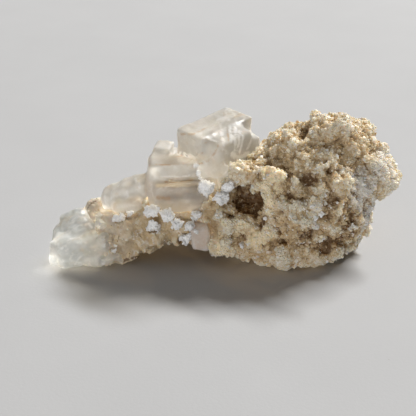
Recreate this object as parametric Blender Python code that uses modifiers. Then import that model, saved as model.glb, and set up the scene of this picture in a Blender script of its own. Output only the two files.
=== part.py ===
"""Halite specimen: clear cubic crystals on an arm of granular salt that grew out of a
large sugary lump. Metres, +Z up, +X along the specimen from the clear end to the lump,
origin at the centre of the bounding box's bottom."""

import math
import random

import bmesh
import bpy
from mathutils import Euler, Matrix, Vector

MM = 0.001

# Driving dimensions
GAP = 0.3 * MM  # air between neighbouring pieces
SALT_IOR = 1.544
CRYSTAL_BEVEL = 0.45 * MM  # softened edge of the clear cubes
LOBE_BEVEL = 1.5 * MM  # rounder edge of the small stepped crystals
END_BEVEL = 2.6 * MM  # rounder still on the end crystal
CORE_VOXEL = 2.0 * MM
SKIN_VOXEL = 0.95 * MM
CLOTS = 210  # blocky clots of salt grown all over the lump
CLOT_MIN = 3.6 * MM
CLOT_MAX = 8.2 * MM
CLOT_SPACING = 4.2 * MM
GRAIN_SIZE = 3.0 * MM  # relief on top of the clots
GRAIN_RELIEF = 0.9 * MM
MATRIX_FACES = 3500  # triangles of the lump before its small cubes
SUGAR_CUBES = 60
SUGAR_MIN = 2.0 * MM
SUGAR_MAX = 4.2 * MM
SUGAR_SPACING = 6.0 * MM
CRUMB_SIZE = 1.9 * MM  # radius of a middling white crumb
FLOOR_SLAB = 0.2  # side of the block that trims the foot flat
SEED = 7

# Main cube: its top left corner, the way it faces and its sides
CUBE_CORNER = Vector((-15.7, -2.0, 44.4)) * MM
CUBE_TURN = (2.4, -2.4, 46.5)
CUBE_LENGTH = 25.0 * MM
CUBE_WIDTH = 12.5 * MM
CUBE_HEIGHT = 19.0 * MM
STEP_FOOT = 0.3  # rise of a step's foot over the cube's, as a share of its drop

# Steps grown on the main cube: start and end along its length, start and end across it,
# drop of the step's top under the cube's top, all in mm
CUBE_STEPS = (
    (2.2, 19.5, 3.0, 17.8, 1.1),
    (12.0, 24.0, 8.0, 18.2, 4.6),
    (-1.2, 9.0, 4.0, 14.5, 6.2),
    (5.0, 18.6, -3.2, 5.1, 8.4),
)

# Blocks under and beside it: size and centre in mm, turns in degrees
BLOCKS = (
    ((27.4, 9.6, 5.4), (-11.4, -7.4, 33.0), (0, 0, 3)),
    ((25.0, 17.0, 6.0), (-11.8, -1.6, 31.0), (0, 1, -2)),
    ((16.6, 19.0, 9.6), (-15.2, -5.4, 23.6), (-1, 1, 4)),
    ((20.4, 15.6, 9.0), (-14.6, -5.6, 24.4), (2, 0, -3)),
    ((6.2, 8.0, 12.0), (-20.4, -0.2, 32.0), (0, 3, -10)),
    ((5.0, 7.0, 11.0), (-22.4, -0.8, 30.6), (0, 14, -8)),
    ((7.4, 6.2, 8.0), (-22.0, -8.8, 27.2), (0, 0, 9)),
)

# Small rounded crystals that step down towards the end
LOBES = (
    ((7.6, 9.5, 10.5), (-27.4, -3.0, 21.6), (-3, 3, 8)),
    ((6.6, 9.0, 9.6), (-31.8, -3.4, 21.0), (2, -2, -6)),
    ((6.4, 8.6, 8.4), (-35.7, -3.2, 19.8), (-4, 4, 10)),
    ((5.4, 8.0, 7.2), (-38.8, -2.8, 18.8), (5, -5, -8)),
    ((5.8, 5.6, 6.0), (-30.0, -8.6, 19.2), (8, -8, 14)),
    ((5.0, 5.0, 5.4), (-34.8, -8.2, 18.0), (-9, 9, -12)),
)

# Rounded crystal at the clear end
END_BLOCKS = (
    ((14.6, 16.0, 12.0), (-50.2, -11.4, 5.0), (2, -2, 12)),
    ((11.0, 13.6, 10.6), (-52.8, -11.8, 3.8), (-4, 4, -10)),
    ((10.6, 12.0, 9.4), (-49.6, -7.6, 9.8), (12, -14, 26)),
    ((8.6, 10.4, 10.6), (-44.2, -14.2, 4.6), (2, -3, 6)),
)

# Pinkish crystal under the arm
LOWER_BLOCKS = (
    ((6.4, 6.4, 8.6), (-7.8, -15.8, 11.6), (6, -6, 12)),
    ((5.0, 5.4, 6.2), (-6.4, -15.0, 8.8), (-8, 8, -10)),
)

# Granular salt: half sizes and centre in mm, turn about Z in degrees
CLODS = (
    ((20.5, 20.0, 21.0), (31.5, 2.0, 21.5), 0),
    ((11.0, 12.0, 12.6), (41.2, 4.0, 33.2), 20),
    ((5.6, 9.0, 11.0), (33.6, 3.0, 36.4), 0),
    ((8.0, 11.0, 10.0), (20.0, 2.0, 29.8), 0),
    ((9.5, 11.0, 6.8), (50.4, 4.0, 27.0), -15),
    ((6.0, 9.0, 11.0), (44.0, -4.0, 12.5), 0),
    ((8.0, 7.6, 6.5), (31.5, -13.4, 5.0), 10),
    ((9.0, 8.0, 6.0), (18.0, -12.8, 5.0), -20),
    ((8.0, 10.0, 7.0), (9.0, -10.0, 8.0), 0),
    ((4.6, 5.0, 5.0), (11.8, -17.0, 11.5), 30),
    ((5.0, 5.0, 4.4), (4.4, -15.6, 17.0), 0),
    ((5.6, 6.0, 4.4), (0.4, -13.6, 8.0), 15),
    ((4.2, 5.4, 9.0), (15.4, -13.6, 26.0), -35),
    ((6.6, 5.4, 6.4), (8.4, -8.6, 28.6), 20),
    ((8.0, 7.0, 9.5), (25.5, -15.0, 19.0), 0),
    ((7.0, 6.0, 9.0), (37.0, -13.5, 18.0), 25),
    ((14.0, 9.0, 13.0), (31.0, 15.0, 16.0), 0),
    ((11.0, 11.0, 12.0), (14.0, 9.0, 15.0), 0),
    ((9.0, 10.0, 11.0), (8.0, 3.0, 21.0), 0),
    ((9.0, 8.0, 11.0), (5.0, 13.0, 18.0), 0),
    ((11.0, 7.0, 7.0), (-11.0, 7.0, 18.0), 0),
    ((11.0, 13.0, 9.0), (-4.0, -1.0, 19.0), 0),
    ((12.0, 12.5, 8.5), (-16.0, -4.5, 14.0), 0),
    ((10.0, 10.5, 7.4), (-27.0, -7.0, 10.0), 0),
    ((7.5, 9.5, 7.6), (-36.5, -6.5, 8.0), 0),
    ((5.5, 7.5, 7.4), (-43.5, -3.0, 8.6), 0),
    ((5.2, 5.0, 4.4), (-36.6, -12.8, 3.8), 0),
)

# Pits and hollows in it
HOLLOWS = (
    ((5.4, 9.0, 5.6), (8.6, -15.0, 23.6), 10),
    ((3.8, 4.6, 2.8), (27.4, -18.5, 33.0), 0),
    ((2.8, 4.0, 3.2), (43.6, -12.0, 39.0), 20),
    ((3.4, 12.0, 7.2), (26.9, 1.0, 46.4), -14),
    ((4.0, 3.4, 2.6), (30.5, -21.5, 26.5), -10),
    ((7.0, 6.0, 8.0), (53.4, -12.0, 20.0), 30),
    ((8.0, 14.0, 6.0), (59.0, 2.0, 10.0), 0),
    ((2.8, 3.6, 3.6), (17.4, -21.4, 14.6), 0),
    ((8.0, 5.0, 6.0), (34.0, 25.0, 26.0), 0),
    ((6.0, 6.0, 5.0), (8.0, 18.0, 27.0), 0),
    ((10.0, 15.0, 4.4), (-13.0, -12.0, 1.2), 0),
)

# White crumbs of chalky salt: centre in mm, size against CRUMB_SIZE
CRUMBS = (
    ((-23.6, -15.8, 20.0), 1.05),
    ((-23.2, -17.0, 15.4), 1.1),
    ((-18.4, -16.6, 19.2), 1.2),
    ((-15.2, -17.6, 16.0), 0.85),
    ((-8.6, -17.0, 19.2), 0.8),
    ((-10.8, -18.0, 15.8), 0.8),
    ((-5.4, -13.4, 27.6), 1.35),
    ((-12.6, -17.4, 10.6), 0.9),
    ((2.0, -14.0, 28.2), 0.95),
    ((-0.6, -15.6, 25.0), 1.15),
)

COLOURS = {
    "granular_matrix": (0.56, 0.44, 0.29),
    "cube_cluster": (0.80, 0.76, 0.70),
    "end_crystal": (0.84, 0.82, 0.78),
    "lower_crystal": (0.80, 0.72, 0.66),
    "salt_crumb": (0.86, 0.86, 0.84),
}

# Roughness and transmission
FINISHES = {
    "granular_matrix": (0.85, 0.0),
    "cube_cluster": (0.12, 0.9),
    "end_crystal": (0.15, 0.9),
    "lower_crystal": (0.15, 0.8),
    "salt_crumb": (0.9, 0.0),
}


def clear_scene():
    for found in list(bpy.data.objects):
        bpy.data.objects.remove(found, do_unlink=True)


def make_collection(name):
    collection = bpy.data.collections.new(name)
    bpy.context.scene.collection.children.link(collection)
    return collection


def make_material(name, colour, roughness, transmission):
    material = bpy.data.materials.new(name)
    material.use_nodes = True
    shader = material.node_tree.nodes["Principled BSDF"]
    shader.inputs["Base Color"].default_value = (*colour, 1.0)
    shader.inputs["Roughness"].default_value = roughness
    shader.inputs["Metallic"].default_value = 0.0
    shader.inputs["Transmission Weight"].default_value = transmission
    shader.inputs["IOR"].default_value = SALT_IOR
    return material


def object_from(bm, name, collection):
    mesh = bpy.data.meshes.new(name)
    bm.to_mesh(mesh)
    bm.free()
    made = bpy.data.objects.new(name, mesh)
    collection.objects.link(made)
    return made


def make_cutter(made):
    made.hide_render = True
    made.display_type = "WIRE"


def apply_modifiers(made):
    """Replace the object's mesh with its evaluated one."""
    depsgraph = bpy.context.evaluated_depsgraph_get()
    mesh = bpy.data.meshes.new_from_object(made.evaluated_get(depsgraph))
    made.modifiers.clear()
    made.data = mesh


def boolean(made, other, operation, self_overlap=False):
    modifier = made.modifiers.new(operation.title(), "BOOLEAN")
    modifier.operation = operation
    modifier.solver = "EXACT"
    modifier.use_self = self_overlap
    modifier.object = other
    apply_modifiers(made)


def island_of(start):
    """All vertices joined to one vertex by edges."""
    found = {start}
    waiting = [start]
    while waiting:
        vert = waiting.pop()
        for edge in vert.link_edges:
            other = edge.other_vert(vert)
            if other not in found:
                found.add(other)
                waiting.append(other)
    return found


def keep_largest_island(made):
    """Cuts can leave loose chips: only the biggest connected body stays."""
    bm = bmesh.new()
    bm.from_mesh(made.data)
    left = set(bm.verts)
    islands = []
    while left:
        island = island_of(next(iter(left)))
        islands.append(island)
        left -= island
    islands.sort(key=len, reverse=True)
    for island in islands[1:]:
        bmesh.ops.delete(bm, geom=list(island), context="VERTS")
    bmesh.ops.triangulate(bm, faces=bm.faces)
    bm.to_mesh(made.data)
    bm.free()


def turned(degrees):
    return Euler([math.radians(angle) for angle in degrees]).to_matrix()


def add_block(bm, size, centre, turns, bevel, grow):
    """One bevelled box with its sides grown by the given clearance."""
    sides = [side + 2 * grow for side in size]
    spin = turned(turns)
    matrix = Matrix.Translation(centre) @ spin.to_4x4() @ Matrix.Diagonal((*sides, 1.0))
    box = bmesh.ops.create_cube(bm, size=1.0, matrix=matrix)
    edges = list({edge for vert in box["verts"] for edge in vert.link_edges})
    segments = 1 if bevel < LOBE_BEVEL else 2
    bmesh.ops.bevel(bm, geom=edges, offset=bevel, segments=segments, profile=0.6, affect="EDGES")


def fused_blocks(name, blocks, collection, cutters, grow=0.0):
    """Overlapping bevelled boxes, given with their bevels, joined into one closed crystal."""
    made = None
    for size, centre, turns, bevel in blocks:
        bm = bmesh.new()
        add_block(bm, size, centre, turns, bevel, grow)
        if made is None:
            made = object_from(bm, name, collection)
            continue
        other = object_from(bm, name + "_block", cutters)
        make_cutter(other)
        boolean(made, other, "UNION")
    return made


def in_metres(blocks, bevel):
    return [
        (Vector(size) * MM, Vector(centre) * MM, turns, bevel)
        for size, centre, turns in blocks
    ]


def cube_block(start, end, near, far, drop):
    """A box of the main cube's own axes, placed from the cube's top left corner."""
    foot = CUBE_HEIGHT - drop * STEP_FOOT
    size = Vector((end - start, far - near, foot - drop))
    middle = Vector((start + end, -near - far, -foot - drop)) / 2
    centre = CUBE_CORNER + turned(CUBE_TURN) @ middle
    return size, centre, CUBE_TURN, CRYSTAL_BEVEL


def cluster_blocks():
    blocks = [cube_block(0, CUBE_LENGTH, 0, CUBE_WIDTH, 0)]
    blocks += [cube_block(*(value * MM for value in step)) for step in CUBE_STEPS]
    blocks += in_metres(BLOCKS, CRYSTAL_BEVEL)
    return blocks + in_metres(LOBES, LOBE_BEVEL)


def add_ball(bm, radii, centre, turn):
    matrix = (
        Matrix.Translation(Vector(centre) * MM)
        @ Matrix.Rotation(math.radians(turn), 4, "Z")
        @ Matrix.Diagonal((*(Vector(radii) * MM), 1.0))
    )
    bmesh.ops.create_icosphere(bm, subdivisions=3, radius=1.0, matrix=matrix)


def add_turned_box(bm, spot, side, rng):
    """A box of uneven sides that sits on a spot at an odd angle."""
    sides = (side, side * rng.uniform(0.7, 1.0), side * rng.uniform(0.6, 1.0), 1.0)
    angles = [rng.uniform(-0.6, 0.6), rng.uniform(-0.6, 0.6), rng.uniform(0, math.pi)]
    matrix = Matrix.Translation(spot) @ Euler(angles).to_matrix().to_4x4()
    bmesh.ops.create_cube(bm, size=1.0, matrix=matrix @ Matrix.Diagonal(sides))


def grain_relief(made):
    """Push the surface in and out along its normals by a fine cloud texture."""
    texture = bpy.data.textures.new("Grain", "CLOUDS")
    texture.noise_scale = GRAIN_SIZE
    modifier = made.modifiers.new("Grain", "DISPLACE")
    modifier.texture = texture
    modifier.texture_coords = "LOCAL"
    modifier.strength = GRAIN_RELIEF
    modifier.mid_level = 0.5


def voxel_skin(made, size):
    modifier = made.modifiers.new("Skin", "REMESH")
    modifier.mode = "VOXEL"
    modifier.voxel_size = size


def surface_spots(made, rng, wanted, spacing):
    """Seeded places on the skin with their normals, none closer than the spacing."""
    faces = list(made.data.polygons)
    areas = [face.area for face in faces]
    spots = []
    for face in rng.choices(faces, weights=areas, k=wanted * 12):
        if all((face.center - spot).length > spacing for spot, _ in spots):
            spots.append((face.center.copy(), face.normal.copy()))
        if len(spots) == wanted:
            break
    return spots


def make_lump(collection):
    """The granular body: balls melted together, covered in clots and melted again."""
    bm = bmesh.new()
    for radii, centre, turn in CLODS:
        add_ball(bm, radii, centre, turn)
    lump = object_from(bm, "granular_matrix", collection)
    voxel_skin(lump, CORE_VOXEL)
    apply_modifiers(lump)
    rng = random.Random(SEED)
    bm = bmesh.new()
    bm.from_mesh(lump.data)
    for spot, normal in surface_spots(lump, rng, CLOTS, CLOT_SPACING):
        side = rng.uniform(CLOT_MIN, CLOT_MAX)
        add_turned_box(bm, spot - normal * side * rng.uniform(0.05, 0.3), side, rng)
    bm.to_mesh(lump.data)
    bm.free()
    voxel_skin(lump, SKIN_VOXEL)
    grain_relief(lump)
    apply_modifiers(lump)
    return lump


def carve_hollows(lump, cutters):
    bm = bmesh.new()
    for radii, centre, turn in HOLLOWS:
        add_ball(bm, radii, centre, turn)
    hollows = object_from(bm, "hollows", cutters)
    grain_relief(hollows)
    make_cutter(hollows)
    boolean(lump, hollows, "DIFFERENCE", self_overlap=True)


def thin_out(lump, faces):
    """Even the skin again after the cuts and bring it down to the wanted face count."""
    voxel_skin(lump, SKIN_VOXEL)
    apply_modifiers(lump)
    triangles = sum(len(face.vertices) - 2 for face in lump.data.polygons)
    modifier = lump.modifiers.new("Thin", "DECIMATE")
    modifier.ratio = faces / triangles
    modifier.use_collapse_triangulate = True
    apply_modifiers(lump)
    keep_largest_island(lump)


def make_sugar(lump, cutters):
    """Small sharp salt cubes that grow out of the lump at odd angles."""
    rng = random.Random(SEED)
    bm = bmesh.new()
    for spot, normal in surface_spots(lump, rng, SUGAR_CUBES, SUGAR_SPACING):
        side = rng.uniform(SUGAR_MIN, SUGAR_MAX)
        add_turned_box(bm, spot + normal * side * 0.1, side, rng)
    sugar = object_from(bm, "sugar", cutters)
    make_cutter(sugar)
    return sugar


def floor_block(cutters):
    bm = bmesh.new()
    below = Matrix.Translation((0, 0, -FLOOR_SLAB / 2))
    bmesh.ops.create_cube(bm, size=FLOOR_SLAB, matrix=below)
    block = object_from(bm, "floor_block", cutters)
    make_cutter(block)
    return block


def crumb_mesh(index, grow, collection, name):
    centre, scale = CRUMBS[index]
    rng = random.Random(SEED + index)
    bm = bmesh.new()
    radius = CRUMB_SIZE * scale
    made = bmesh.ops.create_icosphere(bm, subdivisions=2, radius=1.0)
    for vert in made["verts"]:
        vert.co = vert.co * (radius * rng.uniform(0.78, 1.12) + grow)
    turn = Euler([rng.uniform(0, math.pi) for _ in range(3)]).to_matrix().to_4x4()
    squash = Matrix.Diagonal((1.15, 0.85, 1.0, 1.0))
    bm.transform(Matrix.Translation(Vector(centre) * MM) @ squash @ turn)
    return object_from(bm, name, collection)


def cut_all(made, cutters):
    for cutter in cutters:
        boolean(made, cutter, "DIFFERENCE")
    keep_largest_island(made)


def centre_on_foot(parts):
    """Put the origin at the middle of the bounding box's bottom."""
    points = [vert.co for made in parts.objects for vert in made.data.vertices]
    low = Vector(min(point[axis] for point in points) for axis in range(3))
    high = Vector(max(point[axis] for point in points) for axis in range(3))
    middle = (low + high) / 2
    for made in parts.objects:
        made.data.transform(Matrix.Translation((-middle.x, -middle.y, -low.z)))


def main():
    clear_scene()
    parts = make_collection("halite_specimen")
    cutters = make_collection("cutters")
    floor = floor_block(cutters)

    solids = {
        "cube_cluster": cluster_blocks(),
        "end_crystal": in_metres(END_BLOCKS, END_BEVEL),
        "lower_crystal": in_metres(LOWER_BLOCKS, CRYSTAL_BEVEL),
    }
    crumbs = range(len(CRUMBS))
    crumb_sockets = [crumb_mesh(i, GAP, cutters, f"crumb_socket_{i + 1:02d}") for i in crumbs]
    crystal_sockets = []
    for name, blocks in solids.items():
        crystal = fused_blocks(name, blocks, parts, cutters)
        cut_all(crystal, [*crumb_sockets, floor])
        socket = fused_blocks(name + "_socket", blocks, cutters, cutters, grow=GAP)
        make_cutter(socket)
        crystal_sockets.append(socket)
    for i in crumbs:
        crumb_mesh(i, 0.0, parts, f"salt_crumb_{i + 1:02d}")
        make_cutter(crumb_sockets[i])

    lump = make_lump(parts)
    carve_hollows(lump, cutters)
    thin_out(lump, MATRIX_FACES)
    boolean(lump, make_sugar(lump, cutters), "UNION", self_overlap=True)
    cut_all(lump, [*crystal_sockets, *crumb_sockets, floor])

    centre_on_foot(parts)
    for made in parts.objects:
        kind = "salt_crumb" if made.name.startswith("salt_crumb") else made.name
        roughness, transmission = FINISHES[kind]
        material = make_material(made.name, COLOURS[kind], roughness, transmission)
        made.data.materials.clear()
        made.data.materials.append(material)


main()
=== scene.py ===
"""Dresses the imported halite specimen: a sugary tan lump and arm, clear stepped cubes,
a rounded clear end crystal, a small pink crystal and chalky white crumbs, on a pale floor.
Laid out as an add-on: each button in the sidebar makes one group of pieces."""

import math

import bpy
import numpy as np
from mathutils import Euler, Matrix, Vector
from mathutils.bvhtree import BVHTree


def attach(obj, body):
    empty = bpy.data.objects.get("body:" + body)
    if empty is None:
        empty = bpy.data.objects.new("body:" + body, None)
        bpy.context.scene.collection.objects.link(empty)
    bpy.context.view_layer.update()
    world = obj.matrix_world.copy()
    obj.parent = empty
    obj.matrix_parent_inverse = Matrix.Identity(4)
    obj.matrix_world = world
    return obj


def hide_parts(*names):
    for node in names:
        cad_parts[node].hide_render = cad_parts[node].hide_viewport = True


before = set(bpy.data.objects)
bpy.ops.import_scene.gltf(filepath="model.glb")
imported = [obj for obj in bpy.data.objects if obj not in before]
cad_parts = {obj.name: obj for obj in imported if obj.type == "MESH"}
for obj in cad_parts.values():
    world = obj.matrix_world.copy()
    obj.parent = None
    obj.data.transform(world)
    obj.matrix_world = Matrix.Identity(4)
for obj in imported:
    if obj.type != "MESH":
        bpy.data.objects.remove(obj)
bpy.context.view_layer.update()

bl_info = {
    "name": "Halite Specimen",
    "version": (1, 0, 0),
    "blender": (4, 5, 0),
    "location": "View3D > Sidebar > Halite",
    "description": "Grows the crust, grains, crystals and crumbs of a halite specimen",
    "category": "Object",
}

MM = 0.001
BODY = "root"
CRYSTALS = ("cube_cluster", "end_crystal", "lower_crystal")
CRUMBS = sorted(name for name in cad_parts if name.startswith("salt_crumb"))
GEOMETRY, SHADER = "GeometryNodeTree", "ShaderNodeTree"
SALT_IOR = 1.544

# Gap kept over the floor, height below which no grain grows, and flakes per square metre
FLOOR_GAP, GRAIN_FOOT, FLAKE_DENSITY = 0.2 * MM, 1.2 * MM, 2400000.0

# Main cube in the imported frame: its top left corner, the way it faces and its sides
CUBE_CORNER = Vector((-17.12, -3.42, 44.4)) * MM
CUBE_TURN = Euler((math.radians(2.4), math.radians(-2.4), math.radians(46.5)))

# Recesses cut in the main cube, in mm in its own axes: start and end along its length,
# start and end across it, top and foot under its top
CUBE_RECESSES = (
    (-1, 0.3, 2.6, 10.4, 4, 15), (4.6, 20, 17.4, 19, 4.6, 13), (14.5, 22, 17.8, 19, 7, 15),
)

# Lines on the salt: strength, width in mm, then their points in mm.
# Painted shade along the arm's foot by the floor, in a notch and at one seam; then pale ridges and
# frosted streaks on the lump
FOOT_SHADE_LINES = (
    (1, 0.8, (-37.2, -19.8, 1.2), (-35.2, -18.9, 1.8), (-32.5, -18.3, 2.6), (-29.6, -17.4, 3)),
    (0.9, 0.8, (-29.6, -17.4, 3), (-26, -19.6, 5.4), (-22.3, -20, 6.6)),
    (1, 1.6, (-15.8, -16.5, 8.5), (-15.2, -17, 9.8)),
    (0.7, 0.7, (-48.9, -8.1, 15), (-46.3, -5.8, 15.8), (-44.1, -3.6, 16.6)),
)
PALE_LINES = (
    (1, 1.5, (28.8, -23.6, 21), (29.3, -22.6, 17.7), (30.3, -22.3, 12.7), (28.4, -22.3, 10.1)),
    (0.9, 1.5, (6, -22, 5.5), (14, -24, 3), (24, -24.5, 2.2), (34, -22, 2)),
    (0.8, 2.2, (37.3, -14, 33.7), (44.6, -11.6, 29), (46.4, -13.9, 22.7)),
    (0.8, 2, (46.4, -13.9, 22.7), (42.9, -18.1, 15.4), (39.6, -19.2, 12.2)),
    (0.9, 2.2, (51.5, -8.3, 33), (50.3, -9.2, 24.2), (48.5, -12, 15)),
    (0.7, 1.8, (40.8, -16.7, 25.9), (46, -13, 18)),
    (0.8, 1.5, (55, -5, 36), (57.5, -3, 30), (56, -5, 24)),
)

# White growth lines and brown stains on the clear salt, in the same form
WHITE_LINES = (
    (0.9, 0.8, (-8.4, -9.6, 44), (-5.5, -10, 43), (-2.5, -11.3, 42.8)),
    (0.8, 1.3, (-2.4, 1, 43.9), (-1.6, -8.6, 43), (-0.8, -11.9, 41.5)),
    (0.9, 1.3, (0.7, 4, 44.1), (1.2, -3.1, 43.3), (1.6, -9.3, 42)),
    (1, 1.4, (2.7, -1.1, 43.5), (2.8, -7.9, 42.7), (2.6, -7.3, 38.6)),
    (1, 1.4, (4.5, -3, 43.3), (4.4, -6.5, 42.1), (3.5, -6.3, 38.1)),
    (0.9, 1.3, (5.6, -4.7, 43), (4.8, -5, 38.9), (4.2, -5.5, 36.5)),
    (0.7, 1.3, (8.2, -1.4, 39.4), (7, -2.5, 36.6)),
    (1, 1.8, (1.4, -8.4, 37.1), (2.6, -7, 35.6), (4.5, -5, 34.8), (7, -2.3, 34.6)),
    (0.9, 0.7, (-22, -14.1, 31.3), (-15.5, -13.8, 31.2), (-12.3, -13.6, 31.6)),
    (0.8, 0.7, (-22.9, -16.5, 28), (-20.2, -16.1, 28.5), (-17.3, -14.5, 28.6)),
    (0.6, 0.7, (-17.3, -14.5, 28.6), (-12.3, -13.7, 28.7)),
    (0.8, 0.8, (-25.1, -14.1, 28.6), (-24.5, -15, 24.7)),
    (0.7, 0.7, (-0.7, -13, 32), (0.8, -12.8, 34.2)),
    (0.7, 1.3, (-1.7, -12.9, 41.1), (-0.3, -10.3, 38.3), (1.4, -8.5, 37.1)),
    (1, 0.8, (-33.8, -9.3, 23.9), (-33.4, -10.1, 22)),
    (1, 0.8, (-31.2, -4.9, 26.8), (-30.6, -8.4, 26.7)),
    (1, 0.8, (-29.9, -8.1, 26.9), (-29.5, -9.1, 24.9)),
    (0.7, 0.7, (-41.5, -7.4, 21.8), (-41.4, -8.1, 18.6), (-39.8, -8.5, 17.3)),
    (0.7, 0.7, (-37, -6.7, 24.5), (-37.2, -9, 21.5)),
    (0.7, 0.7, (-39, -7.5, 23.8), (-39.3, -8.7, 20.6)),
    (0.9, 0.9, (-49.5, -13.7, 13.2), (-46.9, -13, 13.4), (-45.8, -13.2, 12.1)),
    (0.7, 0.9, (-55.3, -21, 8.1), (-52.5, -18.6, 10.6), (-50, -17.6, 10.8)),
    (0.6, 0.9, (-50, -17.6, 10.8), (-47.3, -19.9, 9.5)),
    (0.6, 0.9, (-51.3, -20.8, 1.8), (-49.5, -20.7, 4.6), (-46, -20.9, 6.6)),
    (0.6, 0.9, (-54.5, -15.1, 11.2), (-51, -15.1, 12.3)),
)
BROWN_LINES = (
    (0.8, 0.9, (-15.3, -5, 42.9), (-11.1, -8.2, 44.1), (-7.5, -3.5, 43.9), (-4.2, -0.5, 43.9)),
    (0.5, 0.7, (-16.6, -3.7, 42.6), (-16, -4.1, 37.2)),
    (0.9, 0.7, (-0.9, 9.5, 44.9), (-0.6, 3.2, 44.1), (0.1, -4.5, 43.2), (0.7, -10.2, 42.4)),
    (0.8, 0.7, (5.1, -3, 43.3), (8.1, -2.5, 42.8), (11, 1.8, 40)),
    (1, 0.7, (-2.8, -12, 42.8), (-3.4, -13.2, 41.1), (-4.3, -12.2, 38.8), (-6.3, -12.7, 36.4)),
    (0.8, 0.7, (-6.3, -12.7, 36.4), (-11.1, -13.5, 34.8)),
    (0.8, 0.8, (-24, -13.3, 35.6), (-19, -13.6, 35.5)),
    (0.6, 0.7, (-18, -7.4, 35.7), (-15.6, -7, 35.7)),
    (1, 0.7, (-20.4, -13.2, 28.9), (-17.7, -12.8, 28.8), (-11.4, -11.9, 29.2)),
    (0.7, 1.6, (-22.9, -16.8, 24.9), (-18.6, -16.5, 24.4)),
    (0.7, 0.7, (-7.2, -11, 42.1), (-3.7, -11.3, 42.8)),
    (0.6, 0.7, (-10, -9.1, 37.4), (-8.1, -11.3, 38.7)),
    (0.6, 0.6, (2.2, -0.2, 43.9), (2.2, -5.6, 43.1)),
)

# Places, each a centre and a reach in mm. Where the cubes are worn soft, and where their colour is
# darkened as painted shade against the key light's glare
WORN = (
    (4, -7, 39.5, 10), (9.5, -1.5, 39, 9), (-3, -12, 40, 6),
)
SHADED_PLACES = (
    (6, -5, 37, 13), (3, -3, 42, 9), (4.6, 1.4, 43.5, 6), (-4, -8.6, 43.5, 5), (-18, -16, 21, 8),
    (-10, -14, 27, 8),
)

# Where the crust is pitted and painted darker there as shade, filled out, creamy or frosted
SHADED_PITS = (
    (8, -14, 23.5, 9), (27, -18, 32.5, 4.6), (42.8, -12, 39.5, 4), (26, 0.5, 45, 4.5),
    (33.5, -16, 35, 2.8), (3, -16, 13, 3.5), (23.5, -22.5, 14.5, 8), (43, -17, 12, 9),
    (38, -16, 20, 9), (34, -19.5, 24, 6), (33, -21, 8, 7), (11.6, -20, 17.5, 2.8),
    (5.6, -21.8, 12.5, 2.6), (10.6, -17.2, 32.6, 2.8), (1.2, -19.6, 19.4, 3),
    (15.5, -18.5, 23.4, 3), (18.6, -21, 14.2, 2.6), (12.2, -22.5, 9.6, 2.4), (20.5, -19, 26.4, 2.4),
    (8.2, -19.4, 28.6, 2.2),
)
FILLS = (
    (16.6, -20, 14.6, 5.5), (31, -18, 25.5, 6), (-43.2, -3.5, 16.4, 6), (-45.6, -5.5, 15.8, 4),
)
CREAMS = (
    (3, -20, 17.6, 6.5), (10.5, -23, 12, 6.5), (-0.8, -19.5, 8.5, 6), (12.5, -18.5, 24, 6.5),
    (11.7, -17.2, 22.4, 5), (14.5, -19, 29.5, 6.5), (16.5, -17, 33, 6), (23, -17.5, 36.5, 5.5),
    (40.3, -15, 37, 3.5), (29, -24.5, 23.5, 4.5),
)
FROSTS = (
    (46, -12, 26, 11), (54, -4, 31, 10), (48.5, -9, 15.5, 10), (29.5, -25, 24, 5),
    (29, -25, 16, 4.5),
)

# Small clear blocks by the end crystal, then small chalky bits: a place and a size in mm
END_BITS = (
    (-41.2, -20.2, 3, 3.4), (-38.9, -20.2, 4, 2.8), (-36.9, -19.4, 4.4, 2.4),
    (-35.8, -19.3, 2.4, 2), (-41.4, -18.2, 10.6, 3.6), (-40.7, -18.4, 7.4, 3.2),
    (-42.6, -14.4, 13.8, 3.4), (-43.4, -10.6, 14.6, 3),
)
BITS = (
    (-9.9, -13.5, 34.6, 0.7), (-9.3, -13.4, 32.2, 1.1), (-8.6, -13, 30.6, 0.8),
    (-13, -20.4, 12.4, 0.8), (-14.4, -20.2, 9.6, 0.7), (-11.4, -19.6, 18.4, 0.7),
    (-13.6, -20.2, 14.6, 0.6), (-1, -14.6, 26.6, 0.9), (-2.4, -17.8, 24, 0.8),
    (-22.8, -18.4, 21.6, 0.8), (-16.4, -19.2, 17.6, 0.9), (-25.6, -18.8, 14.2, 0.7),
    (-41.4, -20.9, 2.8, 0.9), (-41, -18.8, 8.6, 0.9), (-38.4, -19.4, 6.4, 0.7),
    (-37.4, -13.9, 15.6, 1.3), (-35, -13.4, 16.2, 1.5), (-32.6, -12.2, 16.6, 1.3),
    (-10, -21, 14.3, 0.6), (28, -22.2, 24.5, 1), (30.5, -22.4, 22, 1.2), (28.7, -24, 20.6, 0.9),
    (26, -23, 22.6, 0.8), (12.6, -21.5, 20, 0.7), (4.6, -22.4, 10.4, 0.8),
)

# Clear salts: share of milk, colour and strength of what they swallow, width of their clouds,
# how deep light scatters in them, and how much of the lamps' light they let by
CLEAR_SALTS = {
    "clear salt": (0.52, (0.95, 0.92, 0.86), 10.0, 5.0 * MM, 3.0 * MM, (0.65, 0.63, 0.59)),
    "end salt": (0.45, (0.95, 0.955, 0.94), 6.0, 4.0 * MM, 8.0 * MM, (0.97, 0.97, 0.96)),
    "pink salt": (0.7, (0.94, 0.84, 0.77), 10.0, 3.0 * MM, 5.0 * MM, (0.75, 0.70, 0.65)),
}

# Colours of the milk, the clouds and the lines in clear salt, of its stains, and of thin salt
MILKY, FAINT_WHITE, LINE_WHITE = (0.90, 0.89, 0.86), (0.97, 0.96, 0.94), (0.99, 0.985, 0.97)
STAIN_BROWN, LINE_BROWN = (0.56, 0.47, 0.34), (0.56, 0.40, 0.25)
THIN_SALT = (0.68, 0.62, 0.53)

# A span along X, in mm, that the whole of a small crystal lies beyond
EVERYWHERE = (50.0, 40.0)

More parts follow.
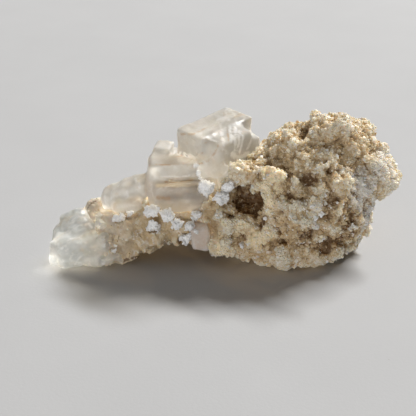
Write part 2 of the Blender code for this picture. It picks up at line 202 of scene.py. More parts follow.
# Share of the lamps' light that the thick crust, the thin crust and the grains let by
CRUST_GLOW, THIN_GLOW, GRAIN_GLOW = (0.34, 0.27, 0.16), (0.95, 0.935, 0.91), (0.80, 0.75, 0.64)

# Middle of the bright sky; places, sizes and colours of the lamps, and the floor, in metres;
# then the camera's lens and sensor, in millimetres
SKY_MIDDLE = Vector((-0.35, 0.15, 0.92)).normalized()
LAMP_AIM = (0.0, 0.0, 0.01)
KEY_PLACE = Vector((0.66, 0.75, 0.87)).normalized() * 5.0
KEY_SIZE, KEY_COLOUR = (2.0, 0.40), (1.0, 0.99, 0.975)
FRONT_PLACE = Vector((-0.35, -0.93, 0.06)).normalized() * 2.5
FRONT_SIZE, FRONT_COLOUR = (2.4, 0.24), (1.0, 0.99, 0.98)
FLOOR_SIDE = 3.0
LENS, SENSOR = 90.0, 36.0


# ---- settings


def number_property(name, description, default, **more):
    """A number the user can change, never below nought."""
    return bpy.props.FloatProperty(
        name=name, description=description, default=default, min=0.0, **more
    )


def size_property(name, description, default):
    """A length the user can change, in metres."""
    return number_property(name, description, default, unit="LENGTH")


def colour_property(name, description, default):
    """A colour the user can change."""
    return bpy.props.FloatVectorProperty(
        name=name, description=description, default=default, min=0.0, max=1.0, subtype="COLOR"
    )


class HaliteCrustSettings(bpy.types.PropertyGroup):
    """Sizes and colours of the granular salt."""

    voxel: size_property("Voxel", "Size of the crust's mesh cells", 0.56 * MM)
    clot_size: size_property("Clot size", "Width of the rounded clots", 3.9 * MM)
    clot_depth: size_property("Clot depth", "Height of the rounded clots", 1.05 * MM)
    grain_size: size_property("Grain size", "Width of the crust's grains", 1.1 * MM)
    grain_depth: size_property("Grain depth", "Height of the crust's grains", 0.6 * MM)
    touch: size_property("Touch", "Growth where the crust meets the crystals", 0.6 * MM)
    # Deep salt is the dark end of the crust's colour ramp. It is painted shade down in the hollows
    # and on the dark lines at the arm's foot, and the ramp rises to the tip colour on raised
    # grains.
    deep: colour_property("Deep salt", "Colour down in the hollows", (0.15, 0.08, 0.03))
    middle: colour_property("Middle salt", "Colour of most of the crust", (0.58, 0.435, 0.255))
    tip: colour_property("Grain tips", "Colour on the tips of the grains", (0.73, 0.662, 0.525))
    cream: colour_property("Cream", "Colour of the creamy clumps", (0.93, 0.79, 0.54))
    frost: colour_property("Frost", "Colour of the frosted side", (0.81, 0.795, 0.755))


class HaliteGrainSettings(bpy.types.PropertyGroup):
    """Sizes and numbers of the small cubes on the crust."""

    density: number_property("Density", "Grains per square metre", 1300000.0, subtype="UNSIGNED")
    smallest: size_property("Smallest", "Side of the smallest grain", 0.3 * MM)
    largest: size_property("Largest", "Side of the largest grain", 1.2 * MM)
    seed: bpy.props.IntProperty(name="Seed", description="Scatter pattern", default=4)


class HaliteCrystalSettings(bpy.types.PropertyGroup):
    """Colours and surface of the clear salt."""

    cube_tint: colour_property("Cube tint", "Body colour of the cubes", (0.715, 0.692, 0.642))
    end_tint: colour_property("End tint", "Body colour of the end crystal", (0.575, 0.592, 0.582))
    pink_tint: colour_property("Pink tint", "Body colour of the low crystal", (0.82, 0.71, 0.63))
    voxel: size_property("Voxel", "Size of the crystals' mesh cells", 0.3 * MM)


class HaliteCrumbSettings(bpy.types.PropertyGroup):
    """Colours and relief of the chalky crumbs."""

    chalk: colour_property("Chalk", "Colour of the crumbs", (0.985, 0.985, 0.98))
    voxel: size_property("Voxel", "Size of the crumbs' mesh cells", 0.14 * MM)
    flake_size: size_property("Flake size", "Width of the flakes", 0.6 * MM)
    flake_depth: size_property("Flake depth", "Height of the flakes", 0.3 * MM)


class HaliteStageSettings(bpy.types.PropertyGroup):
    """Floor, lights and camera."""

    floor: colour_property("Floor", "Colour of the floor", (0.47, 0.47, 0.472))
    key_power: number_property("Key light", "Power of the main light", 405.0, unit="POWER")
    front_power: number_property("Front light", "Power of the low light", 28.5, unit="POWER")
    sky: number_property("Sky", "Strength of the overhead light", 0.32, subtype="UNSIGNED")
    fill: number_property("Fill", "Strength of the light all round", 0.01, subtype="UNSIGNED")
    aim: bpy.props.FloatVectorProperty(
        name="Aim",
        description="Point that the camera looks at",
        default=(-6.3 * MM, -1.4 * MM, 13.6 * MM),
        subtype="TRANSLATION",
        unit="LENGTH",
    )
    distance: size_property("Distance", "From the aim to the camera", 364.0 * MM)
    elevation: bpy.props.FloatProperty(
        name="Elevation",
        description="Height of the camera over the aim, as an angle",
        default=math.radians(26.0),
        subtype="ANGLE",
    )


# ---- nodes


def wire(node, sockets):
    """Fills or links a node's inputs."""
    for key, value in sockets.items():
        if isinstance(value, bpy.types.NodeSocket):
            node.id_data.links.new(value, node.inputs[key])
        else:
            node.inputs[key].default_value = value


def put(tree, kind, sockets=None, **settings):
    """Adds a node, sets its options and fills or links its inputs; gives its outputs."""
    made = tree.nodes.new(kind)
    for name, value in settings.items():
        setattr(made, name, value)
    wire(made, sockets or {})
    return made.outputs


def add(tree, kind, sockets=None, **settings):
    """Adds a node in the same way; gives its first output."""
    return put(tree, kind, sockets, **settings)[0]


def follow(kind, sockets, **settings):
    """Adds a node to the tree that its first linked input lies in; gives its outputs."""
    linked = [value for value in sockets.values() if isinstance(value, bpy.types.NodeSocket)]
    return put(linked[0].id_data, kind, sockets, **settings)


def calc(operation, *values):
    """A Math node's result."""
    return follow("ShaderNodeMath", dict(enumerate(values)), operation=operation)[0]


def times(first, second):
    """Two values multiplied."""
    return calc("MULTIPLY", first, second)


def minus(first, second):
    """The first value less the second."""
    return calc("SUBTRACT", first, second)


def total(*parts):
    """The parts added up, each a value or a pair of a value and its weight."""
    terms = [times(*part) if isinstance(part, tuple) else part for part in parts]
    result = terms[0]
    for term in terms[1:]:
        result = calc("ADD", result, term)
    return result


def vector_calc(operation, *values):
    """A Vector Math node, whose outputs are a vector and a value."""
    return follow("ShaderNodeVectorMath", dict(enumerate(values)), operation=operation)


def scaled(vector, size):
    """A vector made longer or shorter."""
    return follow("ShaderNodeVectorMath", {0: vector, "Scale": size}, operation="SCALE")[0]


def remap(value, low, high, to_low=0.0, to_high=1.0, smooth=True):
    """Value from low..high to to_low..to_high, held at both ends."""
    sockets = {0: value, 1: low, 2: high, 3: to_low, 4: to_high}
    kind = "SMOOTHSTEP" if smooth else "LINEAR"
    return follow("ShaderNodeMapRange", sockets, interpolation_type=kind)[0]


def blend(share, first, second):
    """Two values mixed by share."""
    return follow("ShaderNodeMix", {0: share, 2: first, 3: second})[0]


def blend_colours(share, first, second):
    """Two colours mixed by share."""
    sockets = {0: share, 6: as_colour(first), 7: as_colour(second)}
    return follow("ShaderNodeMix", sockets, data_type="RGBA")[2]


def as_colour(value):
    """Three numbers as four; a socket stays as it is."""
    if isinstance(value, bpy.types.NodeSocket):
        return value
    return (*tuple(value)[:3], 1.0)


def ramp(value, stops):
    """Value through a colour ramp of (position, colour) stops."""
    result = follow("ShaderNodeValToRGB", {0: value})[0]
    elements = result.node.color_ramp.elements
    while len(elements) > 1:
        elements.remove(elements[-1])
    for index, (place, colour) in enumerate(stops):
        stop = elements[0] if index == 0 else elements.new(place)
        stop.position = place
        stop.color = as_colour(colour)
    return result


def scale_for(size, finer):
    """A texture's scale for forms of a size in metres, which may be a socket."""
    if isinstance(size, bpy.types.NodeSocket):
        return calc("DIVIDE", finer, size)
    return finer / size


def noise(where, size, detail=3.0, roughness=0.55, finer=1.0, **more):
    """Noise whose lumps are about size metres wide, nought to one."""
    sockets = {"Vector": where, "Scale": scale_for(size, finer)}
    sockets.update({"Detail": detail, "Roughness": roughness, **more})
    return follow("ShaderNodeTexNoise", sockets)[0]


def cells(where, size, finer=1.0, **settings):
    """A Voronoi texture whose cells are about size metres wide."""
    sockets = {"Vector": where, "Scale": scale_for(size, finer)}
    return follow("ShaderNodeTexVoronoi", sockets, **settings)


def first_of(vector):
    """The first part of a vector or colour, as a random number for each cell."""
    return follow("ShaderNodeSeparateXYZ", {0: vector})[0]


def in_cube_axes(where):
    """A place as it lies from the main cube's corner, along its sides."""
    turn = {"Vector": where, "Center": CUBE_CORNER, "Rotation": CUBE_TURN}
    return follow("ShaderNodeVectorRotate", turn, rotation_type="EULER_XYZ", invert=True)[0]


def node_group(name, kind, inputs, outputs):
    """Makes a group, once, from a function that wires its tree and gives its results."""
    kinds = {"Geometry": "Geometry", "Vector": "Vector", "Seed": "Int", "Rounds": "Int"}

    def wrap(wiring):
        def make():
            known = bpy.data.node_groups.get(name)
            if known:
                return known
            tree = bpy.data.node_groups.new(name, kind)
            for way, labels in (("INPUT", inputs), ("OUTPUT", outputs)):
                for label in labels:
                    socket_type = "NodeSocket" + kinds.get(label, "Float")
                    tree.interface.new_socket(name=label, in_out=way, socket_type=socket_type)
            results = wiring(tree, tree.nodes.new("NodeGroupInput").outputs)
            end = tree.nodes.new("NodeGroupOutput")
            wire(end, dict(zip(outputs, results)))
            return tree

        return make

    return wrap


# ---- objects


def deselect_all():
    """Leaves nothing selected."""
    for item in bpy.context.selected_objects:
        item.select_set(False)


def take_hold(piece):
    """Makes the piece the only selected object and the active one."""
    deselect_all()
    piece.select_set(True)
    bpy.context.view_layer.objects.active = piece


def apply_modifiers(piece):
    """Applies the piece's modifiers in order."""
    take_hold(piece)
    for modifier in list(piece.modifiers):
        bpy.ops.object.modifier_apply(modifier=modifier.name)


def join_all(pieces, main):
    """Joins pieces to the main one."""
    take_hold(main)
    for piece in pieces:
        piece.select_set(True)
    bpy.ops.object.join()


def new_object(name, data):
    """An object in the scene that shows the data."""
    made = bpy.data.objects.new(name, data)
    bpy.context.scene.collection.objects.link(made)
    return made


def copy_of_mesh(source, name):
    """A new piece with its own copy of an object's mesh."""
    piece = new_object(name, source.data.copy())
    piece.data.name = name
    return piece


def copy_of_node(node, name):
    """A CAD node's mesh as a new piece, its loose triangles merged."""
    piece = copy_of_mesh(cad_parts[node], name)
    take_hold(piece)
    bpy.ops.object.mode_set(mode="EDIT")
    bpy.ops.mesh.select_all(action="SELECT")
    bpy.ops.mesh.remove_doubles(threshold=0.000002)
    bpy.ops.mesh.dissolve_limited(angle_limit=math.radians(0.5))
    bpy.ops.object.mode_set(mode="OBJECT")
    return piece


def voxel_remesh(piece, voxel):
    """Gives the piece an even skin of small faces."""
    made = piece.modifiers.new("Voxels", "REMESH")
    made.mode = "VOXEL"
    made.voxel_size = voxel
    apply_modifiers(piece)


def values_of(settings, *labels):
    """The settings that go by the same names as a group's inputs."""
    return {label: getattr(settings, label.lower().replace(" ", "_")) for label in labels}


def shape_by_nodes(piece, tree, values):
    """Runs a geometry node tree on the piece and applies it."""
    made = piece.modifiers.new(tree.name, "NODES")
    made.node_group = tree
    for label, value in values.items():
        made[tree.interface.items_tree[label].identifier] = value
    apply_modifiers(piece)


def keep_values(piece, name, values):
    """Keeps one number for each point of the mesh under a name."""
    kept = piece.data.attributes.new(name, "FLOAT", "POINT")
    kept.data.foreach_set("value", values)


def value_array(piece, name):
    """The numbers kept under a name, one for each point."""
    values = np.empty(len(piece.data.vertices))
    piece.data.attributes[name].data.foreach_get("value", values)
    return values


def points_of(piece):
    """The mesh's points, one row each."""
    flat = np.empty(len(piece.data.vertices) * 3)
    piece.data.vertices.foreach_get("co", flat)
    return flat.reshape(-1, 3)


def share_along(piece, start, end):
    """How far each point is from start to end along X, in mm, nought to one."""
    return np.clip((points_of(piece)[:, 0] / MM - start) / (end - start), 0.0, 1.0)


def mark_places(piece, name, places):
    """Keeps how near each point is to the given places, nought to one."""
    points = points_of(piece)
    values = np.zeros(len(points))
    for *centre, reach in places:
        away = np.linalg.norm(points - np.array(centre) * MM, axis=1)
        values = np.maximum(values, 1.0 - away / (reach * MM))
    keep_values(piece, name, values)


def mark_lines(piece, name, lines):
    """Keeps how near each point is to thin lines on the surface, nought to one."""
    points = points_of(piece)
    values = np.zeros(len(points))
    for strength, width, *spots in lines:
        for start, end in zip(np.array(spots) * MM, np.array(spots[1:]) * MM):
            along = end - start
            share = np.clip((points - start) @ along / (along @ along), 0.0, 1.0)
            away = np.linalg.norm(points - start - share[:, None] * along, axis=1)
            values = np.maximum(values, strength * (1.0 - away / (width * MM)))
    keep_values(piece, name, values)


def mark_along(piece, name, start, end):
    """Keeps a value that falls from one to nought along X, between two places in mm."""
    share = share_along(piece, end, start)
    keep_values(piece, name, share * share * (3.0 - 2.0 * share))


def mark_touch(piece):
    """Keeps where the crust lies against a crystal, one on the contact."""
    trees = [crystal_tree(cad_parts[node]) for node in CRYSTALS]
    values = []
    for vertex in piece.data.vertices:
        found = [tree.find_nearest(vertex.co, 3.0 * MM)[3] for tree in trees]
        near = min((way for way in found if way is not None), default=1.0)
        values.append(min(1.0, max(0.0, (1.5 * MM - near) / (0.9 * MM))))
    keep_values(piece, "touch", values)


def crystal_tree(node):
    """A search tree over a crystal's faces."""
    mesh = node.data
    places = [vertex.co for vertex in mesh.vertices]
    return BVHTree.FromPolygons(places, [list(face.vertices) for face in mesh.polygons])


def finish_piece(piece, material, slot, *nodes, flat=False):
    """Shades, colours and rides a piece, in place of its CAD node if it has one."""
    piece.data.materials.clear()
    piece.data.materials.append(material)
    take_hold(piece)
    if flat:
        bpy.ops.object.shade_flat()
    else:
        bpy.ops.object.shade_smooth()
    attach(piece, BODY)
    if nodes:
        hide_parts(*nodes)
    deselect_all()


# ---- geometry trees


def named_value(tree, name):
    """A value kept on the geometry, by name."""
    return add(tree, "GeometryNodeInputNamedAttribute", {"Name": name}, data_type="FLOAT")


def store(geometry, name, value, domain="POINT"):
    """Keeps a value on the geometry under a name."""
    sockets = {"Geometry": geometry, "Name": name, "Value": value}
    return follow("GeometryNodeStoreNamedAttribute", sockets, domain=domain)[0]


def position(tree):
    """Where each point is."""
    return add(tree, "GeometryNodeInputPosition")


def normal(tree):
    """Which way each point faces."""
    return add(tree, "GeometryNodeInputNormal")


def moved(geometry, **sockets):
    """The geometry with its points moved by an Offset or to a Position."""
    return follow("GeometryNodeSetPosition", {"Geometry": geometry, **sockets})[0]


def push_out(geometry, height):
    """Moves the points out along their normals."""
    return moved(geometry, Offset=scaled(normal(geometry.id_data), height))


def keep_off_floor(geometry):
    """Lifts the points that would lie in the floor."""
    place = position(geometry.id_data)
    above = vector_calc("MAXIMUM", place, (-1.0, -1.0, FLOOR_GAP))[0]
    return moved(geometry, Position=above)


def round_layer(place, size):
    """Rounded knobs with creases between them, each to its own height."""
    made = cells(place, size)
    away = made["Distance"]
    dip = times(times(away, away), 1.5)
    step = times(first_of(made["Color"]), 0.5)
    return total(minus(step, dip), 0.2)


def relief_layer(place, size):
    """Blocks that stand out towards their middles, each to its own height."""
    made = cells(place, size, distance="CHEBYCHEV")
    step = times(first_of(made["Color"]), 0.5)
    return total(minus(step, made["Distance"]), 0.1)


def blurred(tree, rounds, **sockets):
    """Positions averaged with their neighbours."""
    sockets = {0: position(tree), "Iterations": rounds, **sockets}
    return add(tree, "GeometryNodeBlurAttribute", sockets, data_type="FLOAT_VECTOR")


def keep_relief(geometry, name, rounds, reach):
    """Keeps how far each point stands out of its blurred surroundings, nought to one."""
    tree = geometry.id_data
    off = vector_calc("SUBTRACT", position(tree), blurred(tree, rounds))[0]
    height = vector_calc("DOT_PRODUCT", off, normal(tree))[1]
    return store(geometry, name, remap(height, -reach, reach, smooth=False))


RELIEF_INPUTS = ("Geometry", "Clot Size", "Clot Depth", "Grain Size", "Grain Depth", "Touch")


@node_group("Grown relief", GEOMETRY, RELIEF_INPUTS, ("Geometry",))
def grown_relief(tree, given):
    """Clots and blocky grains along the normal, with their height kept as relief."""
    place = position(tree)
    turn = {"Vector": place, "Rotation": (0.5, 0.3, 0.7)}
    turned = add(tree, "ShaderNodeVectorRotate", turn, rotation_type="EULER_XYZ")
    calm = named_value(tree, "calm")
    clot, grain = given["Clot Size"], given["Grain Size"]
    knobs = round_layer(turned, times(clot, 0.42))
    clots = total(round_layer(place, clot), (knobs, 0.45))
    clots = times(clots, minus(1.0, times(calm, 0.7)))
    grains = relief_layer(turned, grain)
    blocks = relief_layer(turned, times(grain, 3.2))
    slabs = relief_layer(turned, times(grain, 6.0))
    cloud = minus(noise(turned, grain, 4.0, 0.6, finer=0.5), 0.5)
    sharp = times(total(grains, (slabs, 0.7)), minus(1.0, calm))
    small = total(sharp, (cloud, 1.8), (blocks, total(calm, 0.3)))
    fill = remap(named_value(tree, "fill"), 0.0, 0.7, 0.0, 2.4 * MM)
    # The marked pits are dented here, and the material paints shade into them too.
    dent = remap(named_value(tree, "shaded_pit"), 0.1, 0.8, 0.0, 0.8 * MM)
    height = total((clots, given["Clot Depth"]), (small, given["Grain Depth"]))
    height = total(height, minus(fill, dent))
    height = blend(named_value(tree, "touch"), height, given["Touch"])
    grown = keep_off_floor(push_out(given[0], height))
    grown = keep_relief(grown, "relief", 14, 0.7 * MM)
    return [keep_relief(grown, "bulge", 160, 2.4 * MM)]


@node_group("Soft facets", GEOMETRY, ("Geometry", "Size", "Depth"), ("Geometry",))
def soft_facets(tree, given):
    """Shallow facets with soft edges, as on worn clear salt."""
    big = relief_layer(position(tree), given["Size"])
    small = relief_layer(position(tree), times(given["Size"], 0.35))
    height = times(total(big, (small, 0.3)), given["Depth"])
    return [keep_off_floor(push_out(given[0], height))]


@node_group("Stepped faces", GEOMETRY, ("Geometry", "Size", "Step"), ("Geometry",))
def stepped_faces(tree, given):
    """Flat plates of uneven height on the faces, square to the main cube."""
    turned = in_cube_axes(position(tree))
    steps = []
    for finer, weight in ((1.0, 1.0), (2.5, 0.45)):
        plate = cells(turned, given["Size"], finer, distance="MANHATTAN")
        steps.append((minus(first_of(plate["Color"]), 0.6), weight))
    return [push_out(given[0], times(total(*steps), given["Step"]))]


@node_group("Rounding", GEOMETRY, ("Geometry", "Rounds"), ("Geometry",))
def rounding(tree, given):
    """Blurs positions by the softness kept on the mesh."""
    soft = blurred(tree, given["Rounds"], Weight=named_value(tree, "softness"))
    return [moved(given[0], Position=soft)]


def random_vector(tree, low, high, seed):
    """A vector for each copy, between two others."""
    sockets = {0: low, 1: high, "Seed": seed}
    return add(tree, "FunctionNodeRandomValue", sockets, data_type="FLOAT_VECTOR")


def random_share(tree, seed):
    """A number for each copy, nought to one."""
    return put(tree, "FunctionNodeRandomValue", {2: 0.0, 3: 1.0, "Seed": seed})[1]


def random_size(tree, given, power):
    """A size for each copy, between the two given, more of them small."""
    share = calc("POWER", random_share(tree, 5), power)
    return remap(share, 0.0, 1.0, given["Smallest"], given["Largest"], smooth=False)


def spots_on(tree, mesh, density, seed, **more):
    """Points scattered over the mesh."""
    sockets = {"Mesh": mesh, "Density": density, "Seed": seed, **more}
    return put(tree, "GeometryNodeDistributePointsOnFaces", sockets)


def cubes_at(tree, spots, turn, scale):
    """A turned and stretched cube at each point."""
    cube = add(tree, "GeometryNodeMeshCube", {"Size": (1.0, 1.0, 1.0)})
    sockets = {"Points": spots["Points"], "Instance": cube, "Rotation": turn, "Scale": scale}
    return add(tree, "GeometryNodeInstanceOnPoints", sockets)


SCATTER_INPUTS = ("Geometry", "Density", "Smallest", "Largest", "Length", "Tilt", "Seed")


@node_group("Scattered cubes", GEOMETRY, SCATTER_INPUTS, ("Geometry",))
def scattered_cubes(tree, given):
    """Small turned cubes sitting in the surface, made real, each with its own tone."""
    proud = remap(named_value(tree, "relief"), 0.3, 0.8, 0.25, 1.0)
    wanted = times(named_value(tree, "wanted"), proud)
    height = put(tree, "ShaderNodeSeparateXYZ", {0: position(tree)})[2]
    clear = add(tree, "FunctionNodeCompare", {0: height, 1: GRAIN_FOOT}, operation="GREATER_THAN")
    density = times(given["Density"], wanted)
    spots = spots_on(tree, given[0], density, given["Seed"], Selection=clear)
    long = add(tree, "ShaderNodeCombineXYZ", {0: 1.0, 1: 1.0, 2: given["Length"]})
    stretch = random_vector(tree, (0.7, 0.7, 0.7), (1.25, 1.25, 1.25), 3)
    stretch = vector_calc("MULTIPLY", stretch, long)[0]
    tilt = add(tree, "ShaderNodeCombineXYZ", {0: given["Tilt"], 1: given["Tilt"], 2: 1.0})
    spin = random_vector(tree, (-1.0, -1.0, -3.1), (1.0, 1.0, 3.1), 8)
    spin = vector_calc("MULTIPLY", spin, tilt)[0]
    sockets = {0: spots["Rotation"], 1: spin}
    turn = add(tree, "FunctionNodeRotateRotation", sockets, rotation_space="LOCAL")
    copies = cubes_at(tree, spots, turn, scaled(stretch, random_size(tree, given, 2.6)))
    copies = store(copies, "tone", random_share(tree, 11), "INSTANCE")
    return [add(tree, "GeometryNodeRealizeInstances", {0: copies})]


@node_group("Flaky cluster", GEOMETRY, ("Geometry", "Smallest", "Largest", "Seed"), ("Geometry",))
def flaky_cluster(tree, given):
    """Flat turned flakes grown out of a warped core."""
    sockets = {"Vector": position(tree), "Scale": 420.0, "Detail": 2.0}
    warp = put(tree, "ShaderNodeTexNoise", sockets)["Color"]
    warp = vector_calc("SUBTRACT", warp, (0.5, 0.5, 0.5))[0]
    core = moved(given[0], Offset=scaled(warp, 4.5 * MM))
    spots = spots_on(tree, core, FLAKE_DENSITY, given["Seed"])
    shape = random_vector(tree, (0.5, 0.5, 0.3), (1.0, 1.0, 0.6), 3)
    spin = random_vector(tree, (-1.5, -1.5, -3.1), (1.5, 1.5, 3.1), 8)
    copies = cubes_at(tree, spots, spin, scaled(shape, random_size(tree, given, 1.6)))
    both = tree.nodes.new("GeometryNodeJoinGeometry")
    wire(both, {0: core})
    wire(both, {0: add(tree, "GeometryNodeRealizeInstances", {0: copies})})
    return [both.outputs[0]]


# ---- materials


@node_group("Salt grain", SHADER, ("Vector", "Grain Size"), ("Tone", "Height"))
def grain_finish(tree, given):
    """Speckle and pitting of granular salt: a tone mask and a height."""
    grains = cells(given["Vector"], given["Grain Size"])
    fine = noise(given["Vector"], given["Grain Size"], 4.0, 0.5, finer=2.3)
    tone = total((first_of(grains["Color"]), 0.55), (fine, 0.45))
    return [tone, minus(fine, grains["Distance"])]


CRYSTAL_MASKS = ("Cloud", "Etch", "Height", "Wisps", "Stain")


@node_group("Clear salt surface", SHADER, ("Vector", "Cloud Size"), CRYSTAL_MASKS)
def crystal_finish(tree, given):
    """Clouds, etched patches, fine growth lines, milky wisps and stains of clear salt."""
    where, size = given["Vector"], given["Cloud Size"]
    cloud = noise(where, size, 5.0, 0.5, Distortion=0.6)
    pits = noise(where, size, 3.0, 0.5, finer=9.0)
    upright = vector_calc("MULTIPLY", where, (1.0, 1.0, 0.12))[0]
    lines = noise(upright, size, 3.0, 0.5, finer=6.0)
    drawn = vector_calc("MULTIPLY", in_cube_axes(where), (0.22, 1.0, 1.0))[0]
    wisps = noise(drawn, 1.5 * MM, 5.0, 0.6)
    apart = vector_calc("ADD", drawn, (0.1, 0.2, 0.3))[0]
    stain = noise(apart, 2.6 * MM, 5.0, 0.65)
    return [
        remap(cloud, 0.35, 0.68),
        remap(pits, 0.52, 0.7),
        total((cloud, 1.6), (lines, 0.5)),
        remap(wisps, 0.50, 0.72),
        remap(stain, 0.52, 0.74),
    ]


def start_material(name):
    """An empty material with its shader, output and object coordinates."""
    material = bpy.data.materials.new(name)
    material.use_nodes = True
    tree = material.node_tree
    tree.nodes.clear()
    shader = tree.nodes.new("ShaderNodeBsdfPrincipled")
    output = tree.nodes.new("ShaderNodeOutputMaterial")
    wire(output, {"Surface": shader.outputs[0]})
    return material, tree, shader, output, put(tree, "ShaderNodeTexCoord")["Object"]


def grain_masks(where, size):
    """The shared grain's tone and height at a grain size in metres."""
    sockets = {"Vector": where, "Grain Size": size}
    return follow("ShaderNodeGroup", sockets, node_tree=grain_finish())


def value_of(tree, name):
    """A value kept on the mesh, for a material."""
    return put(tree, "ShaderNodeAttribute", attribute_name=name)["Fac"]


def bumped(height, distance, strength):
    """A normal from a height."""
    sockets = {"Height": height, "Distance": distance, "Strength": strength}
    return follow("ShaderNodeBump", sockets)[0]


def scatter_light(weight, radius, depth):
    """Principled shader inputs for light that scatters below the surface."""
    labels = ("Subsurface Weight", "Subsurface Radius", "Subsurface Scale")
    return dict(zip(labels, (weight, radius, depth)))


def let_lamps_through(tree, shader, output, colour):
    """Lets a share of the lamps' light pass, so the shadow is not black."""
    lamp = put(tree, "ShaderNodeLightPath")["Is Shadow Ray"]
    clear = add(tree, "ShaderNodeBsdfTransparent", {0: as_colour(colour)})
    both = add(tree, "ShaderNodeMixShader", {0: lamp, 1: shader.outputs[0], 2: clear})
    wire(output, {"Surface": both})


def patchy(where, name, size, low, high):
    """A marked place with a ragged, streaky edge."""
    ragged = minus(noise(where, size, 4.0, 0.7), 0.5)
    return remap(total(value_of(where.id_data, name), (ragged, 1.1)), low, high)


def salt_colour(where, tone_and_shade, settings):
    """Brown to cream by tone and painted shade: darker as painted shade in the hollows and the
    marked pits, creamier on clumps, frosted in places.
    """
    shaded_pit = patchy(where, "shaded_pit", 3.0 * MM, 0.05, 0.85)
    cream = patchy(where, "cream", 3.0 * MM, 0.05, 0.6)
    # Marked pits are painted darker: painted shade in the hollows.
    tone_and_shade = total(tone_and_shade, minus(times(cream, 0.08), times(shaded_pit, 0.27)))
    deep, middle = Vector(settings.deep), Vector(settings.middle)
    # The ramp turns low, hollow-lying points to the deep colour: painted shade.
    stops = [(0.30, deep), (0.48, deep.lerp(middle, 0.6)), (0.62, middle), (0.86, settings.tip)]
    colour = ramp(tone_and_shade, stops)
    cream = times(cream, remap(tone_and_shade, 0.42, 0.74))
    colour = blend_colours(times(cream, 0.75), colour, settings.cream)
    frost = patchy(where, "frost", 2.4 * MM, 0.22, 0.62)
    frost = times(times(frost, remap(tone_and_shade, 0.40, 0.70)), 0.75)
    pale = patchy(where, "pale_line", 1.6 * MM, 0.15, 0.6)
    pale = times(pale, remap(tone_and_shade, 0.34, 0.60, 0.0, 0.85))
    return blend_colours(calc("MAXIMUM", frost, pale), colour, settings.frost)


def granular_material(settings):
    """Sugary tan salt: brown in the hollows as painted shade, cream on the tips, frosted on one
    side.
    """
    material, tree, shader, output, where = start_material("granular salt")
    relief, bulge = value_of(tree, "relief"), value_of(tree, "bulge")
    calm, thin = value_of(tree, "calm"), value_of(tree, "thin")
    grain = grain_masks(where, 0.8 * MM)
    patch = noise(where, 7.0 * MM)
    # Relief and bulge are low in hollows, so this level paints shade there, mixed with the grains'
    # own tone and patches.
    tone_and_shade = total((relief, 0.32), (bulge, 0.55), (grain["Tone"], 0.18), (patch, 0.22))
    mottle = noise(where, 2.4 * MM, 4.0, 0.65)
    even = total((tone_and_shade, 0.25), (mottle, 0.45), 0.22)
    colour = salt_colour(where, blend(calm, tone_and_shade, even), settings)
    veins = times(crust_veins(where), times(calm, 0.7))
    colour = blend_colours(veins, colour, settings.frost)
    colour = blend_colours(times(thin, 0.65), colour, THIN_SALT)
    # Dark lines at the arm's foot and in a notch, painted in the deep colour: painted shade.
    foot_shade = patchy(where, "foot_shade", 1.0 * MM, 0.1, 0.5)
    colour = blend_colours(times(foot_shade, 0.85), colour, settings.deep)
    sockets = {
        "Base Color": colour,
        "Roughness": remap(grain["Tone"], 0.3, 0.7, 0.75, 0.42),
        "Normal": bumped(grain["Height"], 0.4 * MM, 0.5),
        "IOR": SALT_IOR,
        "Specular IOR Level": 0.4,
        **scatter_light(0.5, (1.0, 0.72, 0.42), 3.0 * MM),
    }
    wire(shader, sockets)
    let_lamps_through(tree, shader, output, blend_colours(thin, CRUST_GLOW, THIN_GLOW))
    return material


def crust_veins(where):
    """Broken pale veins between blocks of clearer salt."""
    sockets = {"Vector": where, "Scale": 500.0, "Detail": 3.0}
    ragged = follow("ShaderNodeTexNoise", sockets)["Color"]
    place = vector_calc("ADD", where, scaled(ragged, 4.0 * MM))[0]
    edges = cells(place, 3.6 * MM, feature="DISTANCE_TO_EDGE")["Distance"]
    broken = remap(noise(where, 3.0 * MM), 0.45, 0.7)
    return times(remap(edges, 0.14, 0.0), broken)


def grain_material(settings, name, paleness):
    """Single sugary grains, from tan to cream, darker in the crust's hollows as painted shade,
    whiter on the frosted side.
    """
    material, tree, shader, output, where = start_material(name)
    relief, bulge = value_of(tree, "relief"), value_of(tree, "bulge")
    tone = value_of(tree, "tone")
    grain = grain_masks(where, 0.5 * MM)
    patch = noise(where, 7.0 * MM)
    # Relief and bulge paint shade on the grains in the crust's hollows and keep the white grains
    # out of them.
    tone_and_shade = total((relief, 0.22), (bulge, 0.52), (tone, paleness), (patch, 0.22))
    colour = salt_colour(where, tone_and_shade, settings)
    white = remap(tone, 0.76, 0.9, 0.0, 0.75)
    white = times(white, remap(bulge, 0.3, 0.6))
    sockets = {
        "Base Color": blend_colours(white, colour, settings.frost),
        "Roughness": remap(grain["Tone"], 0.3, 0.7, 0.75, 0.45),
        "Normal": bumped(grain["Height"], 0.2 * MM, 0.3),
        "IOR": SALT_IOR,
        **scatter_light(0.6, (1.0, 0.75, 0.5), 1.5 * MM),
    }
    wire(shader, sockets)
    let_lamps_through(tree, shader, output, GRAIN_GLOW)
    return material


def clear_colour(surface, tint, white, brown):
    """The tint with its clouds, wisps, stains, painted shade on marked parts and lines laid over
    it.
    """
    # Marked places are darkened: painted shade.
    shade_patch = remap(value_of(white.id_data, "shade_patch"), 0.0, 0.7, 0.0, 0.5)
    layers = (
        (surface["Cloud"], Vector(tint).lerp(Vector(FAINT_WHITE), 0.3)),
        (times(surface["Wisps"], 0.8), MILKY),
        (times(surface["Stain"], 0.5), STAIN_BROWN),
        (shade_patch, Vector(tint) * 0.35),
        (remap(brown, 0.1, 0.7, 0.0, 0.8), LINE_BROWN),
        (remap(white, 0.1, 0.7, 0.0, 0.9), LINE_WHITE),
    )
    colour = tint
    for share, layer in layers:
        colour = blend_colours(share, colour, layer)
    return colour


